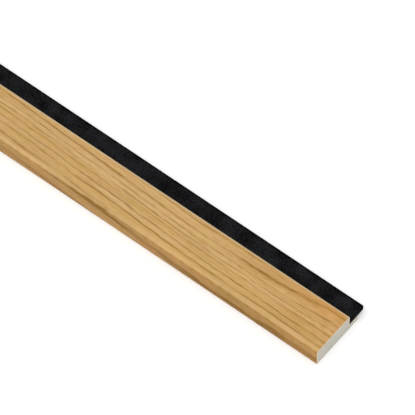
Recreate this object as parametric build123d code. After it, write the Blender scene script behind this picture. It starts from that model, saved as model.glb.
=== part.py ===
"""End trim for slatted acoustic wall panels: a length of oak-wrapped slat with a felt strip beside it.

The trim is a straight run of one section. X is its length, Y runs across it, from the slat's outer side
to the free edge of the felt, and Z is up from the face that is bonded to the wall. The origin is the
middle of that underside. All sizes are in millimetres.
"""
from build123d import *
import os

# The run
length = 2400.0                 # one sold length

# The slat, measured over its oak
slat_width = 27.5               # from the outer side to the inner side
slat_height = 12.0              # from the wall face to the oak face
face_edge_radius = 1.0          # both long edges of the oak face
back_edge_radius = 1.0          # the outer side's long edge at the wall

# The oak wrap
wrap_thickness = 0.8            # veneer on its backing
wrap_turn_under = 5.0           # its reach under the slat, from the outer side

# The ledge that carries the felt
ledge_projection = 7.0          # beyond the slat's inner side
ledge_thickness = 4.1
ledge_edge_radius = 0.5         # the upper long edge of its tip

# The felt strip
felt_width = 12.2
felt_thickness = 2.4
felt_joint_gap = 0.3            # open joint between the slat's inner side and the felt
felt_edge_radius = 0.2          # its upper edges, softened by the knife
felt_corner_radius = 1.0        # its free corners, seen from above

# Places that the pieces share
overall_width = slat_width + felt_joint_gap + felt_width
outer_side = -overall_width / 2
inner_side = outer_side + slat_width
ledge_tip = inner_side + ledge_projection
felt_start = inner_side + felt_joint_gap
felt_edge = felt_start + felt_width


def outline(*corners):
    """Closed section from corners in order, each (y, z, edge radius), where 0 is a sharp corner."""
    points = [(y, z) for y, z, _ in corners]
    radii = [radius for _, _, radius in corners]
    return make_face(FilletPolyline(*points, radius=radii, close=True))


def slat_section(inset):
    """The slat's outline, or the one that lies inset below it.

    The radii shrink by the inset, so both outlines turn each edge about the same centre and the band
    between them keeps one thickness.
    """
    face_radius = face_edge_radius - inset
    return outline(
        (outer_side + inset, inset, back_edge_radius - inset),
        (inner_side - inset, inset, 0),
        (inner_side - inset, slat_height - inset, face_radius),
        (outer_side + inset, slat_height - inset, face_radius),
    )


def wrap_section():
    """Band of one thickness: under the outer side's edge, up, over the face, down to the ledge."""
    band = slat_section(0) - slat_section(wrap_thickness)
    unwrapped = outline(
        (outer_side + wrap_turn_under, 0, 0),
        (inner_side, 0, 0),
        (inner_side, ledge_thickness, 0),
        (outer_side + wrap_turn_under, ledge_thickness, 0),
    )
    return band - unwrapped


def core_section():
    """What the wrap leaves of the slat, with the ledge run on from it in one piece."""
    ledge = outline(
        (inner_side, 0, 0),
        (ledge_tip, 0, 0),
        (ledge_tip, ledge_thickness, ledge_edge_radius),
        (inner_side, ledge_thickness, 0),
    )
    return slat_section(0) - wrap_section() + ledge


def full_run(section):
    """Extrude a section to equal lengths on both sides of the origin, with square sawn ends."""
    return extrude(Plane.YZ * section, length / 2, both=True)


def felt_strip():
    """Flat strip on the ledge, with its free corners and its upper edges rounded."""
    plan = Rectangle(length, felt_width)
    free_corners = plan.vertices().group_by(Axis.Y)[-1]
    plan = fillet(free_corners, felt_corner_radius)
    strip = extrude(plan, felt_thickness)
    strip = fillet(strip.faces().sort_by(Axis.Z)[-1].edges(), felt_edge_radius)
    return Location((0, (felt_start + felt_edge) / 2, ledge_thickness)) * strip


pieces = {
    "core_board": full_run(core_section()),
    "oak_wrap": full_run(wrap_section()),
    "felt_strip": felt_strip(),
}

os.makedirs("parts", exist_ok=True)
for name, piece in pieces.items():
    piece.label = name
    export_step(piece, f"parts/{name}.step")
    box = piece.bounding_box()
    print(f"{name}: {piece.volume / 1000:.1f} cm3, {box.size.X:.1f} x {box.size.Y:.1f} x {box.size.Z:.1f} mm")
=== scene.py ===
# %% [markdown]
# # An oak-wrapped end trim with a felt strip
# The trim closes the cut edge of a slatted acoustic wall panel. It is a straight length of slat: a pale
# moulded core with a ledge, an oak skin wrapped round the core, and a strip of black felt on the ledge.
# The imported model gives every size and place, and this lesson dresses it. Each piece is modelled again
# here at the same size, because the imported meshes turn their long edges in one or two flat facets.

# %% Load the frame
import math

import bmesh
import bpy
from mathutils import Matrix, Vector, noise


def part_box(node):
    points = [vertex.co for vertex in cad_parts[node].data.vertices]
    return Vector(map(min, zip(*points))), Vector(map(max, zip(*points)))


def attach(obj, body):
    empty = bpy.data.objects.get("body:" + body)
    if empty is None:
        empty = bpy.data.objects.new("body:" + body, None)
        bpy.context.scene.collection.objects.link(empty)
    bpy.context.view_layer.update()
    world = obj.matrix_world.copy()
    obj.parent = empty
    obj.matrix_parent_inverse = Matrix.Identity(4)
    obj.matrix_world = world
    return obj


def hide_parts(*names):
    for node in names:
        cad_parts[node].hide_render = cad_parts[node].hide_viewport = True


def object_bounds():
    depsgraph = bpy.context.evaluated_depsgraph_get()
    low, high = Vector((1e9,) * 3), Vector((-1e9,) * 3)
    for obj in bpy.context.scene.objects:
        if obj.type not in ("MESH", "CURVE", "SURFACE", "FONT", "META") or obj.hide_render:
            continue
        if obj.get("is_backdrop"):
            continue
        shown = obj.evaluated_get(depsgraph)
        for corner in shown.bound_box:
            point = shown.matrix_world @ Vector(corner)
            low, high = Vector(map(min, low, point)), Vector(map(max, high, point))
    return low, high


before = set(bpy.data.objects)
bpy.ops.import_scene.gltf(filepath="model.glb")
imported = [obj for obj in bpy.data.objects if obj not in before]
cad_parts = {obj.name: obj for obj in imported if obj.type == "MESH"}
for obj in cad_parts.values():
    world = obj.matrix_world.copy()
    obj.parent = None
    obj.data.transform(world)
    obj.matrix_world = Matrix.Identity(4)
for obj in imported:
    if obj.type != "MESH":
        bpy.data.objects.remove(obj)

cad_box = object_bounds()
scene = bpy.context.scene
MM = 0.001
print("packed model %.0f x %.1f x %.1f mm" % tuple((high - low) / MM for low, high in zip(*cad_box)))

# %% [markdown]
# ## Sizes
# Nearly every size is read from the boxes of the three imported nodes, so the looks follow the model when
# it changes. Only the small radii and the turned-under edge can't be read from a box, and are repeated.

# %% Sizes
skin_low, skin_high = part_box("oak_wrap")
core_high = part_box("core_board")[1]
felt_low, felt_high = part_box("felt_strip")

half_length = skin_high.x
outer_side, inner_side = skin_low.y, skin_high.y
oak_face = skin_high.z
skin_thickness = skin_high.z - core_high.z
ledge_tip = core_high.y
ledge_top = felt_low.z

edge_radius = 1.0 * MM           # all three long edges that the oak turns
ledge_radius = 0.5 * MM
felt_radius = 0.2 * MM
felt_corner_radius = 1.0 * MM
turn_under = 5.0 * MM

print("slat %.1f x %.1f mm, skin %.1f mm, ledge %.1f mm thick, felt %.1f mm wide" % (
    (inner_side - outer_side) / MM, oak_face / MM, skin_thickness / MM, ledge_top / MM,
    (felt_high.y - felt_low.y) / MM))

# %% [markdown]
# ## Camera
# A product photograph of a long, thin thing is taken from far away with a long lens, so that its edges
# stay nearly parallel. The view looks down steeply on the oak face, with the near end at the lower right
# and the rest of the run leaving the picture at the upper left.

# %% Camera
camera_azimuth = math.radians(38.335)
camera_elevation = math.radians(57.4)
camera_distance = 2.82
left_of_end = 0.06846            # from the near end of the underside to the picture's middle
above_end = 0.06747

right = Vector((math.cos(camera_azimuth), math.sin(camera_azimuth), 0))
back = Vector((math.sin(camera_azimuth) * math.cos(camera_elevation),
               -math.cos(camera_azimuth) * math.cos(camera_elevation),
               math.sin(camera_elevation)))
up = back.cross(right)
near_end = Vector((half_length, 0, 0))

camera_data = bpy.data.cameras.new("camera")
camera_data.sensor_width = 36
camera_data.lens = 474.8
camera = bpy.data.objects.new("camera", camera_data)
camera.location = near_end - right * left_of_end + up * above_end + back * camera_distance
camera.rotation_euler = back.to_track_quat("Z", "Y").to_euler()
scene.collection.objects.link(camera)
scene.camera = camera
print("camera at", tuple(round(c, 3) for c in camera.location))

# %% [markdown]
# ## Helpers for colours and nodes
# Colours are picked as sRGB hex values, as a colour picker gives them, and shaders work in linear light,
# so one function turns the one into the other. The second adds one node to a material, sets its
# properties and inputs, and links other nodes' outputs into it. An input goes by its name, or by its
# number where names repeat: a Mix node has its two colours in inputs 6 and 7 and gives output 2.


# %% Colour and node helpers
def linear(hex_colour):
    """Linear RGBA of an sRGB hex colour."""
    channels = [int(hex_colour[i:i + 2], 16) / 255 for i in (1, 3, 5)]
    return [c / 12.92 if c <= 0.04045 else ((c + 0.055) / 1.055) ** 2.4 for c in channels] + [1]


def add(tree, kind, settings=None, links=None):
    """Add a node, set its properties and input values, and link outputs into its inputs."""
    made = tree.nodes.new("ShaderNode" + kind)
    for key, value in (settings or {}).items():
        if isinstance(key, int) or key in made.inputs:
            made.inputs[key].default_value = value
        else:
            setattr(made, key, value)
    for key, output in (links or {}).items():
        tree.links.new(output, made.inputs[key])
    return made.outputs


def empty_material(name):
    """Material with nothing in its node tree."""
    material = bpy.data.materials.new(name)
    material.use_nodes = True
    material.node_tree.nodes.clear()
    return material, material.node_tree


def seen_directly(tree):
    """1 for what the camera sees itself or in a reflection, 0 for light on its way to a surface."""
    path = add(tree, "LightPath")
    seen = add(tree, "Math", {"operation": "MAXIMUM"},
               {0: path["Is Camera Ray"], 1: path["Is Glossy Ray"]})[0]
    return add(tree, "Math", {"operation": "MAXIMUM"}, {0: seen, 1: path["Is Transmission Ray"]})[0]


print("oak face colour in linear light:", [round(c, 3) for c in linear("#C6A069")[:3]])

# %% [markdown]
# ## Studio light
# Half of the light comes evenly from all sides, as in a white tent, and half from a large soft source
# overhead. A face that looks up gets both. An upright face gets about two thirds, as its share of the
# tent and what the floor throws back. Together they bring a colour out about as it is written. The tent
# itself looks white to the camera and in reflections, but lights the trim with its share only.

# %% Light
scene.view_settings.view_transform = "Standard"

tent_share = 0.5
overhead_share = 0.5
overhead_spread = math.radians(60)
overhead_lean = math.radians(14)

softbox_data = bpy.data.lights.new("overhead_softbox", "SUN")
softbox_data.angle = overhead_spread
softbox_data.energy = math.pi * overhead_share
softbox = bpy.data.objects.new("overhead_softbox", softbox_data)
softbox.rotation_euler = (overhead_lean, 0, 0)
scene.collection.objects.link(softbox)

world = bpy.data.worlds.new("white_tent")
world.use_nodes = True
world.node_tree.nodes.clear()
tent_strength = add(world.node_tree, "Math", {"operation": "MULTIPLY_ADD", 1: 1 - tent_share, 2: tent_share},
                    {0: seen_directly(world.node_tree)})[0]
tent = add(world.node_tree, "Background", {"Color": (1, 1, 1, 1)}, {"Strength": tent_strength})[0]
add(world.node_tree, "OutputWorld", links={"Surface": tent})
scene.world = world
print("tent %.1f, overhead %.1f" % (tent_share, overhead_share))

# %% [markdown]
# ## Shaping a run
# All three pieces are one section kept for the whole length, so they are made alike. A few points give
# the section's corners, a vertex bevel rounds the ones that the real piece rounds, and a spin with no
# angle pulls the outline along X in equal steps, which extrudes it many times in one call.

# %% Section, rounding and pull
straight_steps = 48              # for the oak skin and the core, which stay straight


def path_of(bm, corners, closed=False):
    """Vertices at (y, z) corners at the far end of the run, joined in order by edges."""
    verts = [bm.verts.new((-half_length, y, z)) for y, z in corners]
    ends = verts[1:] + verts[:1] if closed else verts[1:]
    for start, end in zip(verts, ends):
        bm.edges.new((start, end))
    return verts


def round_corners(bm, verts, radius, segments=6):
    """Turn the corners at these vertices into arcs."""
    bmesh.ops.bevel(bm, geom=verts, offset=radius, offset_type="OFFSET", segments=segments,
                    profile=0.5, affect="VERTICES", material=-1)


def pull_along(bm, steps):
    """Extrude the whole outline to the near end in equal steps."""
    bmesh.ops.spin(bm, geom=bm.edges[:], cent=(0, 0, 0), axis=(0, 0, 1), angle=0,
                   dvec=(2 * half_length / steps, 0, 0), steps=steps, use_merge=False,
                   use_duplicate=False)
    for vert in bm.verts:
        vert.co.x = min(vert.co.x, half_length)


def close_ends(bm, material_index):
    """Fill the two open ends of a pulled tube with flat faces."""
    rims = [edge for edge in bm.edges if edge.is_boundary]
    caps = bmesh.ops.holes_fill(bm, edges=rims, sides=0)["faces"]
    for cap in caps:
        cap.material_index = material_index
    bmesh.ops.recalc_face_normals(bm, faces=bm.faces[:])


def at_sawn_end(face):
    """Whether the face looks along the run, as only the two sawn ends do."""
    return abs(face.normal.x) > 0.9


def finish_piece(bm, name, materials, node, sharp_angle=40):
    """Shade the piece smooth between its sharp edges, and hand it over in place of its CAD node."""
    for face in bm.faces:
        face.smooth = True
    for edge in bm.edges:
        edge.smooth = edge.calc_face_angle(math.pi) < math.radians(sharp_angle)
    mesh = bpy.data.meshes.new(name)
    bm.to_mesh(mesh)
    bm.free()
    for material in materials:
        mesh.materials.append(material)
    piece = bpy.data.objects.new(name, mesh)
    scene.collection.objects.link(piece)
    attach(piece, "root")
    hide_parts(node)
    print("%s: %d vertices, %d faces" % (name, len(mesh.vertices), len(mesh.polygons)))


print("oak skin and core pulled in steps of %.0f mm" % (2 * half_length / straight_steps / MM))

# %% [markdown]
# ## The oak skin's shape
# The real skin is a thin veneer on a backing, which rollers draw round the core: under the outer side's
# edge, up the side, over the face and down to the ledge. It could be cut from a block with a boolean, but
# it is bent here the way it is made: an open path is rounded, pulled out and given its thickness inwards.
# Before it is pulled, each point of the path stores how far along the path it lies. That distance and the
# place along the run become the UV map, which is the veneer unrolled flat, so the grain runs on over the
# edges as it does on the real wrap.


# %% Bend the oak skin
def measure_path(bm, first, layer):
    """Store on each vertex of an open path its distance from the first one, and return the total."""
    walked, here, done = 0.0, first, {first}
    while True:
        ahead = [edge.other_vert(here) for edge in here.link_edges if edge.other_vert(here) not in done]
        if not ahead:
            return walked
        walked += (ahead[0].co - here.co).length
        here = ahead[0]
        here[layer] = walked
        done.add(here)


def oak_skin_mesh():
    """The bent skin with its UV map, its ends marked for the sawn finish, and its width laid flat."""
    bm = bmesh.new()
    unrolled = bm.verts.layers.float.new("unrolled")
    first, back_edge, outer_edge, inner_edge, _ = path_of(bm, [
        (outer_side + turn_under, 0), (outer_side, 0), (outer_side, oak_face),
        (inner_side, oak_face), (inner_side, ledge_top)])
    round_corners(bm, [back_edge, outer_edge, inner_edge], edge_radius)
    veneer_width = measure_path(bm, first, unrolled)

    pull_along(bm, straight_steps)
    bmesh.ops.recalc_face_normals(bm, faces=bm.faces[:])
    top_face = max(bm.faces, key=lambda face: face.calc_center_median().z)
    if top_face.normal.z < 0:
        bmesh.ops.reverse_faces(bm, faces=bm.faces[:])
    bmesh.ops.solidify(bm, geom=bm.faces[:], thickness=skin_thickness)
    bmesh.ops.recalc_face_normals(bm, faces=bm.faces[:])

    flat_veneer = bm.loops.layers.uv.new("flat_veneer")
    for face in bm.faces:
        for loop in face.loops:
            loop[flat_veneer].uv = (loop.vert.co.x, loop.vert[unrolled])
        if at_sawn_end(face):
            face.material_index = 1
    return bm, veneer_width


skin_bm, veneer_width = oak_skin_mesh()
quarter_turn = edge_radius * math.pi / 2
inner_edge_at = veneer_width - (oak_face - ledge_top - edge_radius) - quarter_turn / 2
outer_edge_at = inner_edge_at - quarter_turn - (inner_side - outer_side - 2 * edge_radius)
print("veneer %.1f mm wide, turned over the edges at %.1f and %.1f mm" % (
    veneer_width / MM, outer_edge_at / MM, inner_edge_at / MM))

# %% [markdown]
# ## Oak veneer
# Oak grows a ring each year. The first wood of the year is full of large pores and looks dark, and the
# dense wood after it is pale, so a sawn face shows dark lines with pale stripes between them. A wave
# texture would space the lines evenly, which no tree does. Here the rings are a record, as a forester
# would read it from a core: a width and a depth of tone for each year, laid side by side in one curve
# across the veneer.

# %% Ring record
ring_record = [                  # mm: a year's width, then its depth of tone, then how far its pores reach
    (3.6, 0.70, 1.1), (2.7, 0.60, 0.9), (4.1, 0.90, 1.1), (3.0, 0.70, 0.9), (3.0, 0.65, 0.9),
    (2.8, 0.75, 0.9), (5.0, 1.00, 1.1), (3.3, 0.75, 0.9), (2.7, 0.80, 0.9), (2.1, 0.65, 0.9),
    (3.6, 1.00, 1.1), (3.3, 0.95, 1.1), (4.8, 1.00, 2.4), (6.2, 0.70, 2.4), (5.0, 0.90, 2.4),
    (4.1, 0.60, 1.4), (3.4, 0.85, 1.6), (2.9, 0.60, 1.1), (4.3, 0.80, 1.8), (3.7, 0.60, 1.2),
    (3.4, 0.90, 1.4)]
record_start = -14.0             # mm, below the lowest place that the bends reach
record_span = 80.0               # mm that the curve holds
pores_set_in = 0.4               # mm over which a ring's dark line begins


def fill_ring_record(mapping):
    """Draw each year's dark line as a small peak in a curve that runs from 0 to 1."""
    points = mapping.curves[0].points
    points[0].location, points[-1].location = (0, 0), (1, 0)
    reached = record_start
    for width, tone, fade in ring_record:
        reached += width
        for place, height in ((reached - pores_set_in, 0), (reached, tone), (reached + fade, 0)):
            points.new((place - record_start) / record_span, height)
    mapping.update()


print("%d rings, %.1f mm a year on average" % (
    len(ring_record), sum(width for width, tone, fade in ring_record) / len(ring_record)))

# %% [markdown]
# The tree leaned and bent as it grew, so the record is pushed sideways along the run: by two slow sways,
# by noise, and near the end by an arch, as where a branch began. Past the outer edge the leaf was cut
# nearer the bark. There each sway comes sooner along the run and carries the rings further, so that they
# lie broader. Everything that follows the grain, such as streaks and pores, is drawn on the pushed
# coordinate and bends with the rings. Noise that should stay long and thin is stretched by dividing its
# coordinate.

# %% Bent grain coordinate
sways = [(520, 1190, 0.8), (830, 1248, 3.8)]     # mm: from crest to crest, one crest's place, reach
sway_offset = 5.2                # mm, lays the record in place under the near end
spread_begins, spread_full = 26.0, 38.0          # mm from the inner edge
bark_spread = 2.7                # how many times as far the sways reach there
lead_begins, lead_full = 25.5, 28.5              # mm from the inner edge
bark_lead = 70                   # mm along the run by which they come sooner there
arch_start, arch_length = 1098, 90               # mm along the run
arch_reach, arch_decay = 10.2, 9.2               # mm at the inner edge, and how far it carries inwards
arch_level = 3.5                 # mm from the inner edge, within which it grows no higher
arch_onset = 1.6                 # power that lets it set in softly
wanders = [(60, 12, 1.4), (14, 3, 0.8), (6, 1.5, 0.3)]       # mm: a patch's length and width, reach


def stretched_noise(tree, place, length, width, detail=0):
    """Noise whose patches are about this many mm long and wide, from about 0.3 to 0.7."""
    squeezed = add(tree, "VectorMath", {"operation": "MULTIPLY", 1: (1 / length, 1 / width, 1)}, {0: place})
    return add(tree, "TexNoise", {"noise_dimensions": "2D", "Scale": 1, "Detail": detail},
               {"Vector": squeezed[0]})[0]


def bent_grain(tree):
    """Grain coordinate in mm: X along the run, Y across the rings."""
    place = add(tree, "UVMap", {"uv_map": "flat_veneer"})[0]
    flat = add(tree, "VectorMath", {"operation": "SCALE", "Scale": 1 / MM}, {0: place})[0]
    along, across = add(tree, "SeparateXYZ", links={0: flat})[:2]
    inwards = add(tree, "Math", {"operation": "SUBTRACT", 0: inner_edge_at / MM}, {1: across})[0]

    spread = add(tree, "MapRange", {"From Min": spread_begins, "From Max": spread_full, "To Min": 1,
                                    "To Max": bark_spread}, {"Value": inwards})[0]
    lead = add(tree, "MapRange", {"From Min": lead_begins, "From Max": lead_full, "To Min": 0,
                                  "To Max": bark_lead}, {"Value": inwards})[0]
    leading = add(tree, "Math", {"operation": "ADD"}, {0: along, 1: lead})[0]
    rings = add(tree, "Math", {"operation": "ADD", 1: sway_offset}, {0: inwards})[0]
    for crest_to_crest, crest, reach in sways:
        turn = 2 * math.pi / crest_to_crest
        angle = add(tree, "Math", {"operation": "MULTIPLY_ADD", 1: turn, 2: -turn * crest}, {0: leading})[0]
        wave = add(tree, "Math", {"operation": "COSINE"}, {0: angle})[0]
        wave = add(tree, "Math", {"operation": "MULTIPLY", 1: -reach}, {0: wave})[0]
        rings = add(tree, "Math", {"operation": "MULTIPLY_ADD"}, {0: wave, 1: spread, 2: rings})[0]

    rise = add(tree, "Math", {"operation": "MULTIPLY_ADD", "use_clamp": True, 1: 1 / arch_length,
                              2: -arch_start / arch_length}, {0: along})[0]
    rise = add(tree, "Math", {"operation": "POWER", 1: arch_onset}, {0: rise})[0]
    depth = add(tree, "Math", {"operation": "MAXIMUM", 1: arch_level}, {0: inwards})[0]
    depth = add(tree, "Math", {"operation": "MULTIPLY", 1: -1 / arch_decay}, {0: depth})[0]
    depth = add(tree, "Math", {"operation": "EXPONENT"}, {0: depth})[0]
    arch = add(tree, "Math", {"operation": "MULTIPLY", 1: arch_reach}, {0: depth})[0]
    rings = add(tree, "Math", {"operation": "MULTIPLY_ADD"}, {0: arch, 1: rise, 2: rings})[0]

    for length, width, reach in wanders:
        wander = stretched_noise(tree, flat, length, width)
        wander = add(tree, "Math", {"operation": "SUBTRACT", 1: 0.5}, {0: wander})[0]
        rings = add(tree, "Math", {"operation": "MULTIPLY_ADD", 1: reach}, {0: wander, 2: rings})[0]
    grain = add(tree, "CombineXYZ", links={0: along, 1: rings})[0]
    near_branch = add(tree, "Math", {"operation": "MULTIPLY"}, {0: depth, 1: rise})[0]
    return grain, rings, across, flat, near_branch


print("sways of %s mm from crest to crest, an arch over the last %.0f mm" % (
    " and ".join(str(crest_to_crest) for crest_to_crest, crest, reach in sways),
    half_length / MM - arch_start))

# %% [markdown]
# Some tones follow the bend of the wrap and not the grain. The side is darker wood, and a painted shade
# makes it darkest just below the outer edge. Above that edge the face is paler, partly a pale stripe in the
# wood and partly a painted highlight. Along the inner edge a thin pale line runs between the oak and the
# felt. Each zone is a mask: a map range turns the distance across the veneer into a share between 0 and 1.


# %% Zones across the veneer
def wrap_zones(tree, across, flat):
    """Masks for the side, the painted shade below its edge, the strip by the felt, and the two pale edges,
    the outer one partly a painted highlight.
    """
    outer, inner = outer_edge_at / MM, inner_edge_at / MM
    on_side = add(tree, "MapRange", {"From Min": outer, "From Max": outer + 0.5, "To Min": 1, "To Max": 0},
                  {"Value": across})[0]
    # darker over the whole side, and a painted shade just below the outer edge
    darker_side_and_edge_shade = add(tree, "MapRange", {"From Min": outer - 2.2, "From Max": outer - 0.7, "To Min": 0.10,
                                        "To Max": 0.22}, {"Value": across})[0]
    darker_side_and_edge_shade = add(tree, "Math", {"operation": "MULTIPLY"}, {0: darker_side_and_edge_shade, 1: on_side})[0]
    by_felt = add(tree, "MapRange", {"From Min": inner - 4, "From Max": inner - 1, "To Max": 0.2},
                  {"Value": across})[0]

    # paler just above the outer edge: partly a pale stripe in the wood, partly a painted highlight
    edge_stripe_and_highlight = add(tree, "MapRange", {"From Min": outer + 1.2, "From Max": outer + 3.4, "To Min": 0.42,
                                    "To Max": 0}, {"Value": across})[0]
    on_face = add(tree, "Math", {"operation": "SUBTRACT", 0: 1}, {1: on_side})[0]
    edge_stripe_and_highlight = add(tree, "Math", {"operation": "MULTIPLY"}, {0: edge_stripe_and_highlight, 1: on_face})[0]

    # a thin pale line along the inner edge, between the oak and the felt
    from_edge = add(tree, "Math", {"operation": "SUBTRACT", 1: inner}, {0: across})[0]
    from_edge = add(tree, "Math", {"operation": "ABSOLUTE"}, {0: from_edge})[0]
    uneven = stretched_noise(tree, flat, 8, 1, detail=2)
    from_edge = add(tree, "Math", {"operation": "MULTIPLY_ADD", 1: 0.7}, {0: uneven, 2: from_edge})[0]
    pale_inner_line = add(tree, "MapRange", {"From Min": 0.8, "From Max": 1.8, "To Min": 0.75, "To Max": 0},
                 {"Value": from_edge})[0]
    return on_side, darker_side_and_edge_shade, by_felt, edge_stripe_and_highlight, pale_inner_line


print("oak face %.1f mm wide between the middles of its edges" % ((inner_edge_at - outer_edge_at) / MM))

# %% [markdown]
# All that is dark in oak is drawn in the same brown: the rings, the pores and the painted shade below the
# edge. Their shares are added up first, and one mix then turns them into colour. A ring isn't equally dark
# all along, so a noise lets it fade and return. Real pores are about 0.2 mm wide and a few long, and are
# drawn 0.4 mm wide, so that they show.

# %% Dark lines and pores
pore_length, pore_width = 5, 0.4                 # mm
pore_share = 0.22                # of the dark brown, so pores are fainter than rings


def oak_darkness(tree, grain, rings, on_side, darker_side_and_edge_shade):
    """Share of the dark brown, and the open pores alone for the bump."""
    record = add(tree, "Math", {"operation": "MULTIPLY_ADD", 1: 1 / record_span,
                                2: -record_start / record_span}, {0: rings})[0]
    ring = add(tree, "FloatCurve", links={"Value": record})[0]
    fill_ring_record(ring.node.mapping)
    strength = stretched_noise(tree, grain, 24, 2, detail=3)
    strength = add(tree, "MapRange", {"From Min": 0.38, "From Max": 0.62, "To Min": 0.3, "To Max": 0.9},
                   {"Value": strength})[0]
    strength = add(tree, "Math", {"operation": "MULTIPLY_ADD", 1: 0.15}, {0: on_side, 2: strength})[0]

    pore = stretched_noise(tree, grain, pore_length, pore_width)
    pore = add(tree, "MapRange", {"From Min": 0.45, "From Max": 0.65}, {"Value": pore})[0]
    # the painted shade below the outer edge adds to the dark brown here
    dark = add(tree, "Math", {"operation": "MULTIPLY_ADD", 1: pore_share}, {0: pore, 2: darker_side_and_edge_shade})[0]
    dark = add(tree, "Math", {"operation": "MULTIPLY_ADD"}, {0: ring, 1: strength, 2: dark})[0]
    return dark, pore


print("pores about %.1f mm long and %.1f mm wide" % (pore_length, pore_width))

# %% [markdown]
# The colour is built from pale to dark. Two straw tones drift over the face in broad stripes, and a
# rosier one lies among them in short ones. The wood turns warmer in places, near the branch, by the felt
# and on the side. Then come the dark brown, fine streaks that lighten and darken it all, the pale line by
# the felt, and the paler stripe with its painted highlight above the outer edge. A matt lacquer seals the
# wood and leaves it almost no gloss.


# %% Oak material
def oak_veneer():
    material, tree = empty_material("oak_veneer_matt_lacquer")
    grain, rings, across, flat, near_branch = bent_grain(tree)
    on_side, darker_side_and_edge_shade, by_felt, edge_stripe_and_highlight, pale_inner_line = wrap_zones(tree, across, flat)
    dark, pore = oak_darkness(tree, grain, rings, on_side, darker_side_and_edge_shade)

    stripe = stretched_noise(tree, grain, 160, 6, detail=1)
    stripe = add(tree, "MapRange", {"From Min": 0.35, "From Max": 0.65}, {"Value": stripe})[0]
    colour = add(tree, "Mix", {"data_type": "RGBA", 6: linear("#D6B176"), 7: linear("#CAA462")},
                 {0: stripe})[2]
    rosy = stretched_noise(tree, grain, 14, 2.5, detail=2)
    rosy = add(tree, "MapRange", {"From Min": 0.35, "From Max": 0.65, "To Max": 0.45}, {"Value": rosy})[0]
    colour = add(tree, "Mix", {"data_type": "RGBA", 7: linear("#D3A678")}, {0: rosy, 6: colour})[2]
    warm = stretched_noise(tree, flat, 22, 4, detail=1)
    warm = add(tree, "MapRange", {"From Min": 0.58, "From Max": 0.75, "To Max": 0.25}, {"Value": warm})[0]
    for zone, share in ((near_branch, 0.9), (on_side, 0.38), (by_felt, 1)):
        warm = add(tree, "Math", {"operation": "MULTIPLY_ADD", 1: share}, {0: zone, 2: warm})[0]
    colour = add(tree, "Mix", {"data_type": "RGBA", 7: linear("#CB9350")}, {0: warm, 6: colour})[2]
    colour = add(tree, "Mix", {"data_type": "RGBA", 7: linear("#9C7132")}, {0: dark, 6: colour})[2]

    streak = stretched_noise(tree, grain, 45, 1.3, detail=3)
    streak = add(tree, "MapRange", {"From Min": 0.35, "From Max": 0.65, "To Min": 0.93, "To Max": 1.07},
                 {"Value": streak})[0]
    colour = add(tree, "VectorMath", {"operation": "SCALE"}, {0: colour, "Scale": streak})[0]
    # the pale line by the felt, then the pale stripe and painted highlight above the outer edge
    for zone, pale_colour in ((pale_inner_line, "#CFBD9B"), (edge_stripe_and_highlight, "#DDB983")):
        colour = add(tree, "Mix", {"data_type": "RGBA", 7: linear(pale_colour)}, {0: zone, 6: colour})[2]

    bump = add(tree, "Bump", {"Strength": 0.4, "Distance": 0.05 * MM, "invert": True}, {"Height": pore})[0]
    shader = add(tree, "BsdfPrincipled", {"Roughness": 0.6, "IOR": 1.45, "Specular IOR Level": 0.12},
                 {"Base Color": colour, "Normal": bump})[0]
    add(tree, "OutputMaterial", links={"Surface": shader})
    return material


oak = oak_veneer()
print("oak veneer: %d nodes" % len(oak.node_tree.nodes))

# %% [markdown]
# At the sawn ends the skin shows its thickness: pale wood with its paper backing, roughened by the saw.


# %% Cut edge of the veneer
def veneer_cut():
    material, tree = empty_material("sawn_veneer_edge")
    place = add(tree, "TexCoord")["Object"]
    fibre = add(tree, "TexNoise", {"Scale": 1 / (0.6 * MM), "Detail": 2}, {"Vector": place})[0]
    colour = add(tree, "Mix", {"data_type": "RGBA", 6: linear("#F3DDBD"), 7: linear("#FFF0DA")},
                 {0: fibre})[2]
    shader = add(tree, "BsdfPrincipled", {"Roughness": 0.8, "Specular IOR Level": 0.1},
                 {"Base Color": colour})[0]
    add(tree, "OutputMaterial", links={"Surface": shader})
    return material


finish_piece(skin_bm, "oak_skin", [oak, veneer_cut()], "oak_wrap")

# %% [markdown]
# ## Core
# The core is a foamed plastic moulding, extruded through a die and sawn to length. The die leaves a
# smooth, slightly shiny skin on its long faces. The saw opens the foam, so the ends are matt, a little
# uneven in tone and finely pitted.


# %% Core material
def foamed_plastic(name, pale, grey, rough, pit_depth):
    material, tree = empty_material(name)
    place = add(tree, "TexCoord")["Object"]
    cloud = add(tree, "TexNoise", {"Scale": 1 / (7 * MM), "Detail": 3}, {"Vector": place})[0]
    cloud = add(tree, "MapRange", {"From Min": 0.35, "From Max": 0.65}, {"Value": cloud})[0]
    colour = add(tree, "Mix", {"data_type": "RGBA", 6: linear(pale), 7: linear(grey)}, {0: cloud})[2]
    pits = add(tree, "TexNoise", {"Scale": 1 / (0.5 * MM), "Detail": 2}, {"Vector": place})[0]
    bump = add(tree, "Bump", {"Strength": 0.5, "Distance": pit_depth}, {"Height": pits})[0]
    shader = add(tree, "BsdfPrincipled", {"Roughness": rough, "Specular IOR Level": 0.2},
                 {"Base Color": colour, "Normal": bump})[0]
    add(tree, "OutputMaterial", links={"Surface": shader})
    return material


moulded_skin = foamed_plastic("foamed_plastic_skin", "#DBD7CD", "#D5D2C8", 0.45, 0.02 * MM)
sawn_foam = foamed_plastic("foamed_plastic_sawn", "#E5DED0", "#DCD9CD", 0.85, 0.1 * MM)
print("core finishes: %s, %s" % (moulded_skin.name, sawn_foam.name))

# %% [markdown]
# The core's outline follows the skin's inner side and its turned-under edge, so that the two close on
# each other without a gap. Its ledge runs on from it and rounds over at the tip.


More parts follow.
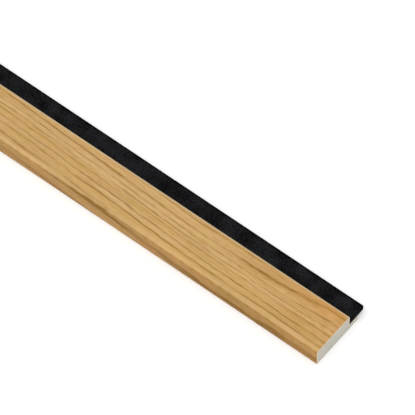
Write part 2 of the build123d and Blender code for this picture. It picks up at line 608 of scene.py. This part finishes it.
# %% Mould the core
def core_mesh():
    bm = bmesh.new()
    core_top, core_side = oak_face - skin_thickness, outer_side + skin_thickness
    corners = path_of(bm, [
        (outer_side + turn_under, 0), (ledge_tip, 0), (ledge_tip, ledge_top),
        (inner_side - skin_thickness, ledge_top), (inner_side - skin_thickness, core_top),
        (core_side, core_top), (core_side, skin_thickness), (outer_side + turn_under, skin_thickness)],
        closed=True)
    round_corners(bm, [corners[2]], ledge_radius)
    round_corners(bm, corners[4:7], edge_radius - skin_thickness, segments=3)
    pull_along(bm, straight_steps)
    close_ends(bm, material_index=1)
    return bm


finish_piece(core_mesh(), "core_moulding", [moulded_skin, sawn_foam], "core_board")

# %% [markdown]
# ## Felt
# The felt is a mat of black polyester fibres, needled and pressed to a thin sheet, then cut into strips.
# Its upper edges are soft, its free corners are rounded, and its surface is not quite flat, because the
# needles leave small dents. The outline is pulled and then cut fine enough to carry dents of about 2 mm,
# and every point is moved by a little smooth noise. The underside stays flat on its ledge.

# %% Felt shape
felt_steps, felt_cuts = 40, 39   # cuts in each step, so there is a point every 1.5 mm
felt_columns = 11                # cuts across it, 1 mm apart
corner_column = 0.65 * MM        # from its free edge, for the turn of its corners
felt_rows = (0.28, 0.56)         # shares of its height
needle_dents = [(2.2 * MM, 0.10 * MM), (0.9 * MM, 0.05 * MM)]     # size and depth
knife_wander = (9 * MM, 0.06 * MM)
hair = 0.001 * MM                # places closer than this are one


def whole_outline(bm):
    """The edges and corners of a section that isn't pulled yet."""
    return bm.edges[:] + bm.verts[:]


def end_caps(bm):
    """The faces of both sawn ends with their edges and corners, each once."""
    parts = [part for face in bm.faces if at_sawn_end(face)
             for part in [face] + face.edges[:] + face.verts[:]]
    return list(dict.fromkeys(parts))


def cut_across(bm, choose, places, normal):
    """Split the chosen parts where planes at these places across Y or Z meet them."""
    for place in places:
        bmesh.ops.bisect_plane(bm, geom=choose(bm), dist=hair, plane_co=[place * n for n in normal],
                               plane_no=normal)


def felt_mesh():
    """The strip with its round corners and edges, its dents and its wandering free edge."""
    bm = bmesh.new()
    corners = path_of(bm, [(felt_low.y, felt_low.z), (felt_high.y, felt_low.z),
                           (felt_high.y, felt_high.z), (felt_low.y, felt_high.z)], closed=True)
    round_corners(bm, corners[2:], felt_radius, segments=3)
    edge_turns = [felt_radius * (1 - math.sin(math.radians(angle))) for angle in (60, 30, 0)]
    columns = [felt_high.y - inwards for inwards in edge_turns + [corner_column, felt_corner_radius]]
    columns += [felt_low.y + (count + 1) * MM for count in range(felt_columns)]
    rows = [felt_low.z + share * (felt_high.z - felt_low.z) for share in felt_rows]
    cut_across(bm, whole_outline, columns, (0, 1, 0))
    cut_across(bm, whole_outline, rows, (0, 0, 1))

    pull_along(bm, felt_steps)
    long_edges = [edge for edge in bm.edges if abs(edge.verts[0].co.x - edge.verts[1].co.x) > MM]
    bmesh.ops.subdivide_edges(bm, edges=long_edges, cuts=felt_cuts)
    close_ends(bm, material_index=0)
    cut_across(bm, end_caps, columns, (0, 1, 0))

    for vert in bm.verts:
        past = vert.co.y - (felt_high.y - felt_corner_radius)
        if past > 0:
            cut_back = felt_corner_radius - math.sqrt(max(0, felt_corner_radius ** 2 - past ** 2))
            limit = half_length - cut_back
            vert.co.x = max(-limit, min(limit, vert.co.x))
        if vert.co.z > felt_low.z + hair:
            for size, depth in needle_dents:
                vert.co.z -= depth * (0.5 + 0.5 * noise.noise(vert.co / size))
        if vert.co.y > felt_high.y - hair:
            size, depth = knife_wander
            vert.co.y -= depth * (0.5 + 0.5 * noise.noise(Vector((vert.co.x, 0, 0)) / size))
    return bm


felt_bm = felt_mesh()
print("felt strip with a point every %.1f mm along" % (2 * half_length / felt_steps / (felt_cuts + 1) / MM))

# %% [markdown]
# Close up, felt is a tangle of single fibres. Three layers of noise, stretched long and thin and laid in
# three directions, cross like fibres do, and where they peak the black turns to charcoal. The fibres are
# 0.05 mm thick in life and drawn 0.15 mm. From further off two things are left to see: small tufts
# between the needle holes, about 1 mm wide, and soft clouds about 9 mm wide, where the mat is denser or
# looser. Towards the free edge it is darker. Black fibre has no gloss, but a faint
# sheen seen from the side.


# %% Felt material
def pressed_felt():
    material, tree = empty_material("black_needled_felt")
    place = add(tree, "TexCoord")["Object"]
    tangle = None
    for angle in (12, 74, 131):
        turned = add(tree, "Mapping", {"vector_type": "TEXTURE", "Rotation": (0, 0, math.radians(angle)),
                                       "Scale": (2 * MM, 0.15 * MM, 0.15 * MM)}, {"Vector": place})[0]
        fibres = add(tree, "TexNoise", {"Scale": 1, "Detail": 1}, {"Vector": turned})[0]
        tangle = fibres if tangle is None else add(
            tree, "Math", {"operation": "MAXIMUM"}, {0: tangle, 1: fibres})[0]
    fibre_tone = add(tree, "MapRange", {"From Min": 0.42, "From Max": 0.78}, {"Value": tangle})[0]
    across = add(tree, "SeparateXYZ", links={0: place})[1]
    # darker towards the free edge
    tone = add(tree, "MapRange", {"From Min": felt_high.y - 2.2 * MM, "From Max": felt_high.y - 0.3 * MM,
                                  "To Min": -2.0, "To Max": -2.8}, {"Value": across})[0]
    for size, share in ((9 * MM, 2.8), (0.9 * MM, 3.2)):     # clouds and tufts
        density = add(tree, "TexNoise", {"Scale": 1 / size, "Detail": 1}, {"Vector": place})[0]
        tone = add(tree, "Math", {"operation": "MULTIPLY_ADD", 1: share}, {0: density, 2: tone})[0]
    tone = add(tree, "Math", {"operation": "MULTIPLY"}, {0: fibre_tone, 1: tone})[0]
    colour = add(tree, "Mix", {"data_type": "RGBA", 6: linear("#040405"), 7: linear("#28292B")},
                 {0: tone})[2]
    bump = add(tree, "Bump", {"Strength": 0.6, "Distance": 0.1 * MM}, {"Height": tangle})[0]
    shader = add(tree, "BsdfPrincipled", {"Roughness": 1.0, "Specular IOR Level": 0.03,
                                          "Sheen Weight": 0.03, "Sheen Roughness": 0.5},
                 {"Base Color": colour, "Normal": bump})[0]
    add(tree, "OutputMaterial", links={"Surface": shader})
    return material


finish_piece(felt_bm, "felt_mat", [pressed_felt()], "felt_strip", sharp_angle=60)

# %% [markdown]
# ## Floor
# The trim lies on a plain white table. Its paint alone would render as a pale grey, so a little glow is
# added for what the camera sees directly or in a reflection, which takes the open floor to white and
# leaves the trim's soft shadow in it. The glow lights nothing.

# %% Floor
floor_reach = 12.0               # metres from the middle to each side
floor_paint = 0.8                # share of the light that it throws back
floor_glow = 0.3


def white_table():
    material, tree = empty_material("white_table_paint")
    strength = add(tree, "Math", {"operation": "MULTIPLY", 1: floor_glow}, {0: seen_directly(tree)})[0]
    glow = add(tree, "Emission", {"Color": (1, 1, 1, 1)}, {"Strength": strength})[0]
    paint = add(tree, "BsdfDiffuse", {"Color": (floor_paint, floor_paint, floor_paint, 1)})[0]
    both = add(tree, "AddShader", links={0: glow, 1: paint})[0]
    add(tree, "OutputMaterial", links={"Surface": both})
    return material


floor_bm = bmesh.new()
bmesh.ops.create_grid(floor_bm, x_segments=1, y_segments=1, size=floor_reach)
floor_mesh = bpy.data.meshes.new("floor")
floor_bm.to_mesh(floor_mesh)
floor_bm.free()
floor_mesh.materials.append(white_table())
floor = bpy.data.objects.new("floor", floor_mesh)
scene.collection.objects.link(floor)
floor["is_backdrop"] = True
print("floor %.0f m square" % (2 * floor_reach))

# %% [markdown]
# ## Sizes
# The box of the dressed trim and the box of the CAD model are both printed.

# %% Measure and finish
boxes = {"cad": cad_box, "visual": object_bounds()}
boxes = {name: [[float(c) for c in corner] for corner in box] for name, box in boxes.items()}
print(boxes)
